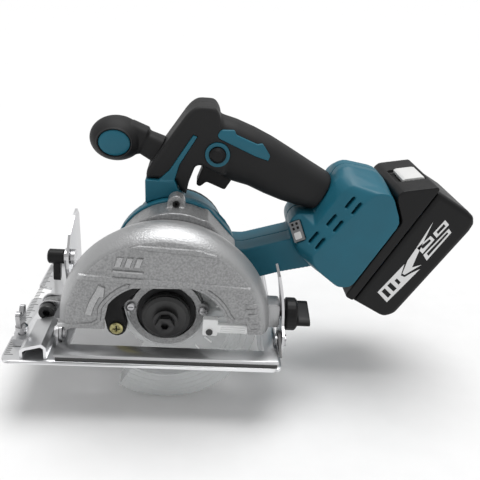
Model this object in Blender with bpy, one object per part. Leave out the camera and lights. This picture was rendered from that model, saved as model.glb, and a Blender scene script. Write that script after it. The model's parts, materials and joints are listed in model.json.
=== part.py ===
"""A cordless circular saw for a 125 mm blade, standing on its base, with no blade fitted.

X runs from the front of the base to the battery, Y away from the blade side, Z up. The origin is the
middle of the base's underside. Lengths are millimetres until a mesh is made, and MM then makes them metres.
"""

import math

import bmesh
import bpy
from mathutils import Matrix, Vector

for item in list(bpy.data.objects):
    bpy.data.objects.remove(item, do_unlink=True)

MM = 0.001
GAP = 0.4  # between pieces that touch on the real saw

# Base
BASE_FRONT, BASE_REAR, BASE_HALF = -100.0, 97.0, 77.5
BASE_THICK = 2.5
RIM_TOP = 7.0
SLOT = (-57.0, 82.0, -60.0, -17.0)  # the opening the guard drops through: x, x, y, y

# Arbor, blade plane and upper guard
ARBOR = (12.0, 24.0)
BLADE_Y = -45.0
GUARD_R, GUARD_WALL = 76.0, 3.0
GUARD_NEAR, GUARD_BACK = -66.5, -31.2
GUARD_FLOOR = 26.0
GUARD_RIM = (7.0, 19.0)  # how far the near rim's curve comes in, and how deep it is
GUARD_TAPER = 5.0  # how much smaller the guard is at its back
LOWER_R, LOWER_WALL = 67.4, 1.8
BOSS_R = 28.0  # gear case boss that the lower guard turns on

# Motor, square to the arbor's gear at the gears' centre distance
MODULE, WHEEL_TEETH, PINION_TEETH = 1.5, 32, 8
CENTRES = MODULE * (WHEEL_TEETH + PINION_TEETH) / 2
MOTOR_TILT = math.radians(8)
MOTOR = (ARBOR[0] + CENTRES * math.sin(MOTOR_TILT), ARBOR[1] + CENTRES * math.cos(MOTOR_TILT))
CASE_R, BARREL_R = 46.0, 40.0
CASE_FLAT = ((39, 95), (61, 71))  # x, z of the ends of the flat on the case's upper rear
LOCK_AXIS = (-12.5, 50.0)  # y, z of the spindle lock button, along X
LUG = (15.5, 101.6)  # x, z of the lug that takes the handle's screw
CASE_FRONT, CASE_REAR = -30.8, -6.0
BARREL_END = 46.0

# Pivots
BEVEL_PIVOT = (-50.0, 10.0)  # y, z of the axis along X
DEPTH_PIVOT = (-78.0, 15.0)  # x, z of the axis along Y
GUIDE_R = 176.0  # inner radius of the rear depth guide about the depth pivot
CLAMP = (-38.0, 26.0)  # y, z of the rear depth clamp
LEVER_AXIS = (-15.0, 54.0)  # y, z of the front bevel clamp

# Handle and battery share one middle plane
MID_Y = 23.0
HANDLE_HALF = 20.0
TRIGGER_PIVOT = (57.0, 122.0)
LOCK_OFF = (44.0, 135.0)
KNOB = (-32.5, 138.0)
BATTERY_ORIGIN = (143.0, 38.0)
BATTERY_ANGLE = math.radians(62)
BATTERY_HALF = 37.5

# Red, green, blue, roughness and metal
COLOURS = {
    "teal": (0.03, 0.20, 0.29, 0.42, 0.0),
    "black": (0.03, 0.03, 0.033, 0.6, 0.0),
    "rubber": (0.035, 0.035, 0.037, 0.75, 0.0),
    "cast": (0.55, 0.56, 0.57, 0.5, 0.9),
    "zinc": (0.66, 0.67, 0.69, 0.25, 1.0),
    "steel": (0.5, 0.5, 0.52, 0.35, 1.0),
    "black steel": (0.035, 0.035, 0.04, 0.4, 0.8),
    "yellow zinc": (0.68, 0.6, 0.3, 0.3, 1.0),
    "clear": (0.8, 0.82, 0.83, 0.12, 0.0),
    "grey": (0.3, 0.31, 0.32, 0.5, 0.0),
    "white": (0.75, 0.75, 0.74, 0.45, 0.0),
    "copper": (0.6, 0.3, 0.14, 0.4, 1.0),
    "board": (0.02, 0.16, 0.07, 0.5, 0.0),
    "cell": (0.1, 0.25, 0.5, 0.4, 0.0),
}


# ---------------------------------------------------------------- outlines


def arc(centre, radius, start, end, steps):
    """Points along an arc, angles in degrees, both ends included."""
    return [
        (
            centre[0] + radius * math.cos(math.radians(start + (end - start) * i / steps)),
            centre[1] + radius * math.sin(math.radians(start + (end - start) * i / steps)),
        )
        for i in range(steps + 1)
    ]


def circle(centre, radius, steps=32):
    return arc(centre, radius, 0, 360 * (steps - 1) / steps, steps - 1)


def hexagon(centre, across):
    return arc(centre, across / math.sqrt(3), 0, 300, 5)


def sector(centre, inner, outer, start, end, steps):
    """A flat ring's slice."""
    return arc(centre, outer, start, end, steps) + arc(centre, inner, end, start, steps)


def capsule(a, b, radius, steps=8):
    """The outline round two points, such as a slot or an arm."""
    angle = math.degrees(math.atan2(b[1] - a[1], b[0] - a[0]))
    return arc(b, radius, angle - 90, angle + 90, steps) + arc(a, radius, angle + 90, angle + 270, steps)


def rounded(points, radius, steps=3):
    """A polygon with each corner curved over about this radius, or over its own third value."""
    result = []
    for i, corner in enumerate(points):
        here = Vector(corner[:2])
        before = Vector(points[i - 1][:2]) - here
        after = Vector(points[(i + 1) % len(points)][:2]) - here
        reach = min(corner[2] if len(corner) > 2 else radius, before.length * 0.45, after.length * 0.45)
        if reach == 0:
            result.append(tuple(here))
            continue
        start = here + before.normalized() * reach
        end = here + after.normalized() * reach
        for k in range(steps + 1):
            t = k / steps
            result.append(tuple((1 - t) ** 2 * start + 2 * t * (1 - t) * here + t**2 * end))
    return result


def rectangle(x0, x1, y0, y1):
    return [(x0, y0), (x1, y0), (x1, y1), (x0, y1)]


def gear(centre, teeth, turn):
    """A spur gear's outline, its teeth slim enough to leave backlash."""
    pitch = MODULE * teeth / 2
    root, tip = pitch - 1.1 * MODULE, pitch + 0.75 * MODULE
    step = 360 / teeth
    points = []
    for i in range(teeth):
        middle = turn + i * step
        for radius, offset in ((root, -0.26), (tip, -0.1), (tip, 0.1), (root, 0.26)):
            points += arc(centre, radius, middle + offset * step, middle, 1)[:1]
    return points


# ---------------------------------------------------------------- solids

PLACE = {
    "X": lambda a, b, t: Vector((t, a, b)),
    "Y": lambda a, b, t: Vector((a, t, b)),
    "Z": lambda a, b, t: Vector((a, b, t)),
}


def loft(rings, ring=False, split=False):
    """Rings of points joined one to the next. A ring loft joins the last to the first, others are capped.

    Split makes triangles, for rings whose outlines change shape.
    """
    mesh = bmesh.new()
    made = [[mesh.verts.new(point) for point in points] for points in rings]
    count = len(made[0])
    pairs = list(zip(made, made[1:]))
    if ring:
        pairs.append((made[-1], made[0]))
    else:
        mesh.faces.new(made[0])
        mesh.faces.new(made[-1])
    for low, high in pairs:
        for i in range(count):
            quad = (low[i], low[(i + 1) % count], high[(i + 1) % count], high[i])
            for corners in ((quad[:3], (quad[0], *quad[2:])) if split else (quad,)):
                mesh.faces.new(corners)
    bmesh.ops.recalc_face_normals(mesh, faces=mesh.faces)
    return mesh


def prism(outline, low, high, axis="Y"):
    """A flat outline pushed along an axis. The outline is (x, z) for Y, (y, z) for X and (x, y) for Z."""
    place = PLACE[axis]
    return loft([[place(a, b, t) for a, b in outline] for t in (low, high)])


def block(x0, x1, y0, y1, z0, z1):
    return prism(rectangle(x0, x1, y0, y1), z0, z1, "Z")


def turned(profile, centre, axis="Y", steps=32, ring=False):
    """A profile of (radius, along) turned about an axis through centre."""
    place = PLACE[axis]
    rings = [[place(a, b, along) for a, b in circle(centre, radius, steps)] for radius, along in profile]
    return loft(rings, ring)


def washer(centre, inner, outer, low, high, axis="Y", steps=32):
    return turned([(inner, low), (outer, low), (outer, high), (inner, high)], centre, axis, steps, True)


def tube(points, radius, sides=6):
    """A round wire along points."""
    rings = []
    for i, point in enumerate(points):
        ahead = points[min(i + 1, len(points) - 1)] - points[max(i - 1, 0)]
        turn = ahead.to_track_quat("Z", "Y").to_matrix()
        rings.append([point + turn @ Vector((a, b, 0)) for a, b in circle((0, 0), radius, sides)])
    return loft(rings)


def soften(mesh, axis, at, width, segments=2, keep=None):
    """Bevels the edges that lie in one flat cap, all of them or those whose middle passes keep."""
    index = "XYZ".index(axis)
    edges = [
        edge
        for edge in mesh.edges
        if all(abs(vert.co[index] - at) < 1e-4 for vert in edge.verts)
        and (keep is None or keep((edge.verts[0].co + edge.verts[1].co) / 2))
    ]
    bmesh.ops.bevel(
        mesh,
        geom=edges,
        offset=width,
        segments=segments,
        profile=0.5,
        affect="EDGES",
        clamp_overlap=True,
    )
    return mesh


# ---------------------------------------------------------------- objects


def look(name, kind):
    red, green, blue, roughness, metallic = COLOURS[kind]
    made = bpy.data.materials.new(name)
    made.use_nodes = True
    shader = made.node_tree.nodes["Principled BSDF"]
    shader.inputs["Base Color"].default_value = (red, green, blue, 1.0)
    shader.inputs["Roughness"].default_value = roughness
    shader.inputs["Metallic"].default_value = metallic
    if kind == "clear":
        shader.inputs["Transmission Weight"].default_value = 0.9
    return made


def place_mesh(name, shape, at=(0, 0, 0), parent=None):
    """Turns a shape in millimetres into an object in metres whose origin is at at."""
    bmesh.ops.translate(shape, verts=shape.verts, vec=-Vector(at))
    bmesh.ops.scale(shape, verts=shape.verts, vec=(MM, MM, MM))
    mesh = bpy.data.meshes.new(name)
    shape.to_mesh(mesh)
    shape.free()
    item = bpy.data.objects.new(name, mesh)
    bpy.context.scene.collection.objects.link(item)
    item.location = Vector(at) * MM
    item.parent = parent
    return item


def make(name, shape, kind, at=(0, 0, 0), parent=None, smooth=35):
    item = place_mesh(name, shape, at, parent)
    item.data.materials.append(look(name, kind))
    item.data.shade_smooth()
    item.data.set_sharp_from_angle(angle=math.radians(smooth))
    return item


def combine(item, operation, shapes):
    """Cuts shapes from an item, or joins them to it, one Boolean each."""
    for number, shape in enumerate(shapes):
        tool = place_mesh(f"{item.name}_{operation.lower()}_{number}", shape, parent=item.parent)
        tool.hide_render = True
        tool.display_type = "WIRE"
        modifier = item.modifiers.new(tool.name, "BOOLEAN")
        modifier.operation = operation
        modifier.object = tool


def cut(item, *shapes):
    combine(item, "DIFFERENCE", shapes)


def join(item, *shapes):
    combine(item, "UNION", shapes)


def frame(name, at, turn=0.0):
    """An empty, turned about Y, that pieces in a slanted frame are parented to."""
    empty = bpy.data.objects.new(name, None)
    bpy.context.scene.collection.objects.link(empty)
    empty.location = Vector(at) * MM
    empty.rotation_euler = (0, turn, 0)
    return empty


# ---------------------------------------------------------------- base


def base():
    outline = rounded(rectangle(BASE_FRONT, BASE_REAR, -BASE_HALF, BASE_HALF), 6)
    plate = make("base_plate", prism(outline, 0, BASE_THICK, "Z"), "zinc")
    x0, x1, y0, y1 = SLOT
    sheet = 2.0
    near = (-74.5, y0)  # the near rim is a channel between the lip and the slot
    channel = [
        (near[0], 0.5),
        (near[0], RIM_TOP - 1),
        (near[0] + 1, RIM_TOP),
        (near[1] - 1, RIM_TOP),
        (near[1], RIM_TOP - 1),
        (near[1], 0.5),
    ]
    join(plate, prism(channel, -64, 95, "X"))
    rear = [(84, 0.5), (84.5, RIM_TOP - 1), (85.5, RIM_TOP), (94, RIM_TOP), (95, RIM_TOP - 1), (95, 0.5)]
    join(plate, prism(rear, near[0], 68, "Y"))
    join(plate, block(-92, 95, 72, 74, 1, RIM_TOP))
    hollow_near = rectangle(near[0] + sheet, near[1] - sheet, -1, RIM_TOP - sheet)
    hollow_rear = rectangle(84 + sheet, 95 - sheet, -1, RIM_TOP - sheet)
    cut(
        plate,
        prism(hollow_near, -62, 95 - sheet, "X"),
        prism(hollow_rear, near[0] + sheet, 66, "Y"),
        prism(rounded(rectangle(x0, x1, y0, y1), 8), -1, RIM_TOP + 1, "Z"),
        block(92.5, 96, -56, -44, 4, 8),
        prism([(BASE_FRONT - 1, 8), (-88, 12), (-88, 29), (BASE_FRONT - 1, 33)], -1, 4, "Z"),
        prism([(BASE_FRONT - 1, BLADE_Y - 3), (-95, BLADE_Y), (BASE_FRONT - 1, BLADE_Y + 3)], -1, 4, "Z"),
    )


def fence_bracket():
    """The arched bracket that holds a rip fence's bar, with a block for its thumb screw in front."""
    left, right, floor, low, high, sheet = -87, -68.6, BASE_THICK + GAP, 11.5, 15, 2
    arch = [(left, floor), (left, low - 2.5), (left + 3, low), (right - 3, high), (right, high - 3)]
    arch += [(right, floor), (right - sheet, floor), (right - sheet, high - 4), (right - 4, high - sheet - 0.6)]
    arch += [(left + 4, low - sheet), (left + sheet, low - 3.5), (left + sheet, floor)]
    bracket = make("fence_bracket", prism(arch, -75, -37), "zinc")
    screw = (-91, -52)
    join(bracket, block(left - 9, left + 1, -60, -45, floor, 8.5))
    cut(bracket, prism(circle(screw, 2.9, 20), 0, 12, "Z"))
    shank = turned([(2.4, 3.4), (2.4, 12), (4.5, 12), (4.5, 15), (2.6, 17)], screw, "Z", 20)
    thumb = make("fence_thumb_screw", shank, "steel", (screw[0], screw[1], 0))
    wing = rounded([(-59, 16), (-45, 16), (-43.5, 28), (-48, 30), (-52, 24), (-56, 30), (-60.5, 28)], 2.5)
    join(thumb, prism(wing, screw[0] - 1.5, screw[0] + 1.5, "X"))


def bevel_parts():
    """The front bevel bracket and its post, the rear ear, the depth guide and the clamp lever."""
    y, z = BEVEL_PIVOT
    ly, lz = LEVER_AXIS
    floor = BASE_THICK + GAP
    post = [(-57.5, floor), *arc(BEVEL_PIVOT, 7.5, 180, 0, 8), (-42.5, 6.5), (-8, 6.5), (ly - 6.5, lz)]
    post += arc(LEVER_AXIS, 6.5, 180, 0, 8) + [(10, 6.5), (10, floor)]
    front_post = make("bevel_post", prism(post, -66, -64.2, "X"), "zinc")
    cut(
        front_post,
        prism(circle(BEVEL_PIVOT, 2.7, 20), -70, -60, "X"),
        prism(circle(LEVER_AXIS, 3.3, 20), -70, -60, "X"),
    )
    ear = [(-70, floor + 4.5), *arc(BEVEL_PIVOT, 7.5, 120, 15, 6), (-38, floor + 4.5)]
    rear_ear = make("rear_bevel_ear", prism(ear, 95.5, 97.3, "X"), "black steel")
    cut(rear_ear, prism(circle(BEVEL_PIVOT, 2.7, 20), 90, 99, "X"))

    quadrant = [(-57, 8), *arc(BEVEL_PIVOT, 7, 165, 15, 8), (-42, 8.6), (-28.5, 8.6), (-28.5, 22), (-25, 22)]
    quadrant += [(-25, 8.6), (-15.2, 8.6), (-15.2, 30), (-24, 48), (-24, 58)]
    quadrant += [(-14, 72), (4, 80), (14, 82), (20, 76), (24, 40), (24, 12), (18, 3.6), (-54, 3.6)]
    bracket = make("bevel_bracket", prism(quadrant, -63.8, -62, "X"), "zinc")
    radius = math.hypot(ly - y, lz - z)
    start = math.degrees(math.atan2(lz - z, ly - y))
    cut(
        bracket,
        prism(circle(BEVEL_PIVOT, 2.7, 20), -70, -60, "X"),
        prism(sector(BEVEL_PIVOT, radius - 3.4, radius + 3.4, start - 49, start + 1.5, 14), -70, -60, "X"),
        prism(circle(LEVER_AXIS, 3.4, 20), -70, -60, "X"),
    )
    for y0, y1 in ((-27.2, -25.2), (-16.6, -14.6)):
        join(bracket, prism(capsule(DEPTH_PIVOT, (-66, 14), 7, 6), y0, y1))
        cut(bracket, prism(circle(DEPTH_PIVOT, 3.1, 20), y0 - 1, y1 + 1))

    band = arc(DEPTH_PIVOT, GUIDE_R, -3.9, 15.5, 14) + arc(DEPTH_PIVOT, GUIDE_R + 1.8, 15.5, -3.9, 14)
    guide = make("depth_guide", prism(band, -58, -27), "zinc")
    y0, z0 = CLAMP
    cut(
        guide,
        prism([(-60, 17), (-49, 22), (-49, 70), (-60, 70)], 60, 120, "X"),
        prism(capsule((y0, z0 - 2), (y0, z0 + 30), 3.4), 60, 120, "X"),
        prism(circle(BEVEL_PIVOT, 2.7, 20), 60, 120, "X"),
    )
    for name, low, high in (("front_bevel_pin", -68, -60.2), ("rear_bevel_pin", 93.6, 101.8)):
        profile = [(4.6, low), (4.6, low + 1.5), (2.3, low + 1.5)]
        profile += [(2.3, high - 1.5), (4.6, high - 1.5), (4.6, high)]
        make(name, turned(profile, BEVEL_PIVOT, "X", 16), "steel")

    screw = turned(
        [(3.2, -33.5), (5.8, -33.5), (6, -33), (6, -27.8), (2.6, -27.8), (2.6, -13.8)], DEPTH_PIVOT, "Y", 24
    )
    pivot_screw = make("depth_pivot_screw", screw, "black steel")
    cut(pivot_screw, prism(hexagon(DEPTH_PIVOT, 5), -40, -30))

    bolt = turned([(2.8, -76), (2.8, -61.6), (6, -61.6), (6, -58.6)], LEVER_AXIS, "X", 16)
    make("bevel_clamp_bolt", bolt, "steel")
    profile = [(4.2, -84), (5.6, -82.5), (5.6, -67), (3.3, -67), (3.3, -77), (0.6, -77)]
    hub = turned(profile, LEVER_AXIS, "X", 20)
    lever = make("bevel_clamp_lever", hub, "black", (-75, ly, lz))
    join(lever, prism(rounded(capsule((ly, lz - 4.6), (ly - 2, lz - 15.5), 3.4, 5), 0.4, 1), -78, -71, "X"))
    cut(lever, prism(circle(LEVER_AXIS, 3.6, 20), -76.6, -60, "X"))


def depth_knob():
    """The wing knob behind the depth guide, on the bolt that reaches into the guard's boss."""
    y, z = CLAMP
    profile = [(2.1, 86), (2.1, 100.4), (11, 100.4), (12.5, 101.5), (12.5, 108), (11, 109.5)]
    knob = make("depth_wing_knob", turned(profile, CLAMP, "X", 24), "black", (100, y, z))
    wing = [(y - 13, z - 2), (y - 10, z - 5), (y + 10, z + 1), (y + 13, z + 5), (y + 9, z + 6), (y - 9, z + 1)]
    join(knob, prism(rounded(wing, 2), 107, 119, "X"))


# ---------------------------------------------------------------- guards, gears and motor


def half_drum(radius, rim, low, high, taper, floor):
    """A half-round block about the arbor down to floor. Its near rim curves in and its back tapers."""
    inward, deep = rim
    turns = [math.pi / 12 * k for k in range(7)]
    sizes = [(inward * (1 - math.sin(t)), deep * (1 - math.cos(t))) for t in turns]
    rings = []
    for inset, depth in sizes + [(taper, high - low)]:
        r = radius - inset
        outline = [(ARBOR[0] + r, floor)] + arc(ARBOR, r, 2, 178, 36) + [(ARBOR[0] - r, floor)]
        rings.append([PLACE["Y"](x, z, low + depth) for x, z in outline])
    return loft(rings)


def upper_guard():
    """A cast half-round cover with a window at the arbor, and the arm that stops the lower guard."""
    pivot = (-24, 13)  # the stop arm's screw
    outside = half_drum(GUARD_R, GUARD_RIM, GUARD_NEAR, GUARD_BACK, GUARD_TAPER, GUARD_FLOOR - 2)
    guard = make("upper_guard", outside, "cast")
    inner_rim = (GUARD_RIM[0], GUARD_RIM[1] - GUARD_WALL)
    low, high = GUARD_NEAR + GUARD_WALL, GUARD_BACK - GUARD_WALL
    hollow = half_drum(GUARD_R - GUARD_WALL, inner_rim, low, high, GUARD_TAPER - 0.4, -20)
    window = [(-30, 10), (-30, 30), *arc((4, 22), 38, 145, 112, 4), *arc((20, 22), 38, 75, 32, 5)]
    window += [(54, 36), (57, 32.5), (70, 33), (71, 24), (71, 10)]
    cut(guard, hollow, prism(window, -70, GUARD_BACK - GUARD_WALL - 1))
    rib = [(-45, 64), (-44, 67.5), (66, 63.5), (67.5, 60)]
    join(
        guard,
        prism(rib, GUARD_NEAR - 0.8, GUARD_NEAR + 1),
        prism([(-14, 86.6), (-13, 88), (38, 86.5), (39, 85)], GUARD_NEAR - 0.8, GUARD_NEAR + 1),
        prism(rounded(rectangle(83, 96.2, 17.8, 37), 2), -46, -30),
        prism(capsule(pivot, (-24, 32), 9), GUARD_BACK - GUARD_WALL + 0.2, GUARD_BACK - 0.2),
    )
    cut(
        guard,
        prism(circle(CLAMP, 2.6, 20), 85.4, 100, "X"),
        prism(circle(pivot, 2, 16), -40, -30),
        prism(circle(ARBOR, 32.4, 40), -40, -25),
    )

    stop = make("guard_stop_arm", prism(capsule(pivot, (-28.5, 32), 7.2), -46, -37.4), "rubber")
    join(stop, prism(capsule((-27, 32), (-15, 47), 6.4), -45.6, -37.6))
    cut(stop, prism(circle(pivot, 2.4, 16), -50, -30))
    head = [(1.6, -32), (1.6, -46.4), (4.8, -46.4), (4.8, -48), (3.6, -48.8)]
    stop_screw = make("guard_stop_screw", turned(head, pivot, "Y", 20), "yellow zinc")
    cut(stop_screw, block(-27, -21, -50, -47.6, 12.4, 13.6), block(-24.6, -23.4, -50, -47.6, 10, 16))


def lower_guard():
    """The clear guard, a hollow sector open at its rim, and the lever that a hand swings it by."""
    ax, az = ARBOR
    at = (ax, BLADE_Y, az)
    back, front = -34.8, -54.0
    start, end = -120, 18
    guard = make("lower_guard", prism(sector(ARBOR, 31, LOWER_R, start, end, 20), front, back), "clear", at)
    inside = sector(ARBOR, 20, LOWER_R - LOWER_WALL, start - 6, end + 6, 24)
    cut(
        guard,
        prism(inside, front + LOWER_WALL, back - LOWER_WALL),
        prism(circle(ARBOR, 46, 40), front - 1, front + LOWER_WALL + 1),
    )
    join(
        guard,
        washer(ARBOR, BOSS_R + GAP, 34, back - LOWER_WALL + 0.1, back - 0.1, steps=32),
        prism(rectangle(ax + 27, ax + 48, az - 9, az + 6), front + 0.1, front + LOWER_WALL - 0.1),
    )
    screw = (ax + 32, az - 3.6)
    cut(guard, prism(circle(screw, 1.6, 12), front - 2, front + 3))
    grip = prism(rounded(rectangle(ax + 27, ax + 38, az - 7.2, az + 6.6), 1.5), front - 5.2, front - GAP)
    lever = make("guard_lever", grip, "clear", at)
    join(lever, prism(rounded(rectangle(ax + 37, ax + 60, az - 4.5, az + 2.5), 1.5), front - 5, front - 1.2))
    cut(lever, prism(circle(screw, 1.6, 12), front - 6, front + 3))
    head = [(1.3, front + 2.5), (1.3, front - 5.5), (2.5, front - 5.5), (2.5, front - 6.2)]
    make("guard_lever_screw", turned(head, screw, "Y", 16), "black steel", at)


def gear_case():
    """The aluminium gear case, its arbor boss, bearing retainer and the lug that takes the handle's screw."""
    ax, az = ARBOR
    outline = [*arc(MOTOR, CASE_R, 66, 378, 32), *CASE_FLAT[::-1]]
    case = make("gear_case", prism(outline, CASE_FRONT, CASE_REAR), "cast")
    lug = [(8.5, 90), *arc(LUG, 6.5, 180, 0, 8), (22, 90)]
    arm = [(-20, 20), (-20, 42), (-60, 25), *arc(DEPTH_PIVOT, 6, 80, 260, 8), (-60, 9.8)]
    join(
        case,
        prism(circle(ARBOR, BOSS_R, 32), -37, -21.5),
        prism(lug, -18, CASE_REAR),
        prism(arm, -24.6, -17.6),
    )
    cut(
        case,
        prism(circle(MOTOR, CASE_R - 3.5, 36), -18.5, CASE_REAR + 1),
        prism(circle(MOTOR, 11.2, 20), -29, -10),
        prism(circle(ARBOR, 25.6, 28), -33.6, -20),
        prism(circle(ARBOR, 11.4, 20), -40, -20),
        prism(circle(LUG, 2.6, 16), -20, 0),
        prism(circle(DEPTH_PIVOT, 3.0, 20), -30, -10),
        prism(circle(LOCK_AXIS, 5.4, 16), 51, 70, "X"),
    )
    button = turned([(5, 57.4), (5, 65.6), (4, 66.4)], LOCK_AXIS, "X", 16)
    make("spindle_lock", button, "black", (61, *LOCK_AXIS))
    ears = (ax - 26, az + 5), (ax + 27, az + 3.5)
    retainer = make("bearing_retainer", prism(circle(ARBOR, 27.4, 32), -41, -37.4), "cast")
    for ear in ears:
        join(retainer, prism(capsule((ax, az + 4), ear, 5.4, 6), -41.2, -37.2))
    cut(retainer, prism(circle(ARBOR, 22, 28), -45, -36.6))
    for number, ear in enumerate(ears, 1):
        cut(retainer, prism(circle(ear, 1.9, 12), -45, -36))
        head = [(1.5, -38.2), (1.5, -41.4), (3.4, -41.4), (3.4, -43), (2.6, -43.6)]
        screw = make(f"retainer_screw_{number}", turned(head, ear, "Y", 16), "steel")
        cut(screw, block(ear[0] - 1.9, ear[0] + 1.9, -45, -42.8, ear[1] - 0.4, ear[1] + 0.4))
    seal = [(10, -39.5), (21.4, -39.5), (21.4, -37.5), (10, -37.5)]
    make("bearing_seal", turned(seal, ARBOR, "Y", 32, True), "rubber")
    make("spindle_bearing", washer(ARBOR, 6.3, 11, -37, -30.2), "steel")


def guard_spring():
    """A wire of one and a half turns round the arbor boss, between the two guards."""
    steps, turns, radius = 36, 1.5, 30.6
    wire = []
    for k in range(steps + 1):
        turn = math.tau * turns * k / steps
        x = ARBOR[0] + radius * math.cos(turn)
        z = ARBOR[1] + radius * math.sin(turn)
        wire.append(Vector((x, -33.9 + 1.6 * k / steps, z)))
    make("lower_guard_spring", tube(wire, 0.55), "steel")


def drive():
    """Spindle, gears, flanges and bolt, and the motor's turning parts."""
    ax, az = ARBOR
    at = (ax, BLADE_Y, az)
    shaft = [(5, -52), (5, -40), (6, -40), (6, -28.3), (5, -28.3), (5, -20.4)]
    spindle = make("spindle", turned(shaft, ARBOR, "Y", 24), "steel", at)
    cut(spindle, prism(circle(ARBOR, 3.1, 16), -60, -44))
    teeth = gear(ARBOR, WHEEL_TEETH, 90 - math.degrees(MOTOR_TILT))
    wheel = make("spindle_gear", prism(teeth, -27.6, -20.6), "steel", at)
    cut(wheel, prism(circle(ARBOR, 5.3, 24), -30, -15))
    flange = [(6.4, -40.4), (14, -40.4), (18, -41.5), (18, -45.6), (13, -45.6), (13, -44.8)]
    flange += [(5.4, -44.8), (5.4, -42), (6.4, -42)]
    make("inner_flange", turned(flange, ARBOR, "Y", 24, True), "black steel", at)
    outer = [(5.4, -46.2), (17.5, -46.2), (17.5, -48), (15, -49.5), (5.4, -49.5)]
    make("outer_flange", turned(outer, ARBOR, "Y", 24, True), "black steel", at)
    bolt = [(2.8, -45), (2.8, -52.6), (9, -52.6), (9, -54), (6.6, -54.6)]
    blade_bolt = make("blade_bolt", turned(bolt, ARBOR, "Y", 24), "black steel", at)
    join(blade_bolt, prism(hexagon(ARBOR, 12), -60, -54))
    cut(blade_bolt, prism(hexagon(ARBOR, 5), -62, -56.5))

    mx, mz = MOTOR
    at = (mx, BLADE_Y, mz)
    shaft = [(3.6, -28.4), (3.6, -20.2), (4, -20.2), (4, 52)]
    rotor_shaft = make("rotor_shaft", turned(shaft, MOTOR, "Y", 20), "steel", at)
    phase = 270 - math.degrees(MOTOR_TILT) + 180 / PINION_TEETH
    join(rotor_shaft, prism(gear(MOTOR, PINION_TEETH, phase), -27.8, -19.8))
    make("rotor_core", washer(MOTOR, 4.3, 11, 2, 32, steps=24), "steel", at)
    fan = make("cooling_fan", washer(MOTOR, 4.3, 30, -9, -7.5, steps=32), "black", at)
    for k in range(9):
        tilt = math.radians(40 * k)
        blade = block(12, 29, -7.7, -0.5, -0.8, 0.8)
        turn = Matrix.Rotation(-tilt, 4, "Y")
        bmesh.ops.rotate(blade, verts=blade.verts, cent=(0, 0, 0), matrix=turn)
        bmesh.ops.translate(blade, verts=blade.verts, vec=(mx, 0, mz))
        join(fan, blade)


def barrel_clearance():
    """The barrel's outside and a fine gap, for pieces that sit against it."""
    flange, reach = CASE_R + 1.2 + GAP, BARREL_R + GAP
    return turned([(flange, -20), (flange, 4.2), (reach, 13), (reach, 80)], MOTOR, "Y", 48)


def motor_housing():
    mx, mz = MOTOR
    barrel = [
        (CASE_R + 1.2, CASE_REAR + GAP),
        (CASE_R + 1.2, 4),
        (BARREL_R, 12),
        (BARREL_R - 2, BARREL_END),
        (BARREL_R - 5, BARREL_END),
        (BARREL_R - 3.2, 10),
        (CASE_R - 2, 2),
        (CASE_R - 2, CASE_REAR + GAP),
    ]
    housing = make("motor_housing", turned(barrel, MOTOR, "Y", 48, True), "teal")
    cut(housing, block(-40, 80, -10, 60, -5, 9.5), prism(circle(LUG, 2.6, 16), -10, 12))
    shifts = ((0.7, 0.6), (7, 6))  # square to the case's flat
    beyond = [(x + a, z + b) for (x, z), (a, b) in zip(CASE_FLAT * 2, (shifts[0],) * 2 + (shifts[1],) * 2)]
    beyond = [beyond[0], beyond[1], beyond[3], beyond[2]]
    cut(housing, prism(beyond, CASE_REAR - 1, 3.5))
    join(housing, block(mx - 24, mx + 24, CASE_REAR + GAP, 40, 9, 12.5))
    end = BARREL_END + GAP
    cap_profile = [(0.6, end + 9), (30, end + 9), (BARREL_R - 2.2, end + 4), (BARREL_R - 2.2, end), (0.6, end)]
    cap = make("motor_end_cap", turned(cap_profile, MOTOR, "Y", 40), "black")
    cut(cap, turned([(33, end - 1), (29, end + 6.2)], MOTOR, "Y", 32))
    join(cap, washer(MOTOR, 11.4, 14, end, end + 7.5, steps=24))
    for k in (-3, -2, 2, 3):
        cut(cap, block(mx + 7 * k - 1.4, mx + 7 * k + 1.4, end + 3, end + 12, mz - 18, mz + 18))
    make("stator", washer(MOTOR, 12.4, 30, 4, 34, steps=32), "copper")
    make("rotor_bearing", washer(MOTOR, 4.4, 11, end + 0.4, end + 5.8, steps=24), "steel")


# ---------------------------------------------------------------- handle, trigger and battery

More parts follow.
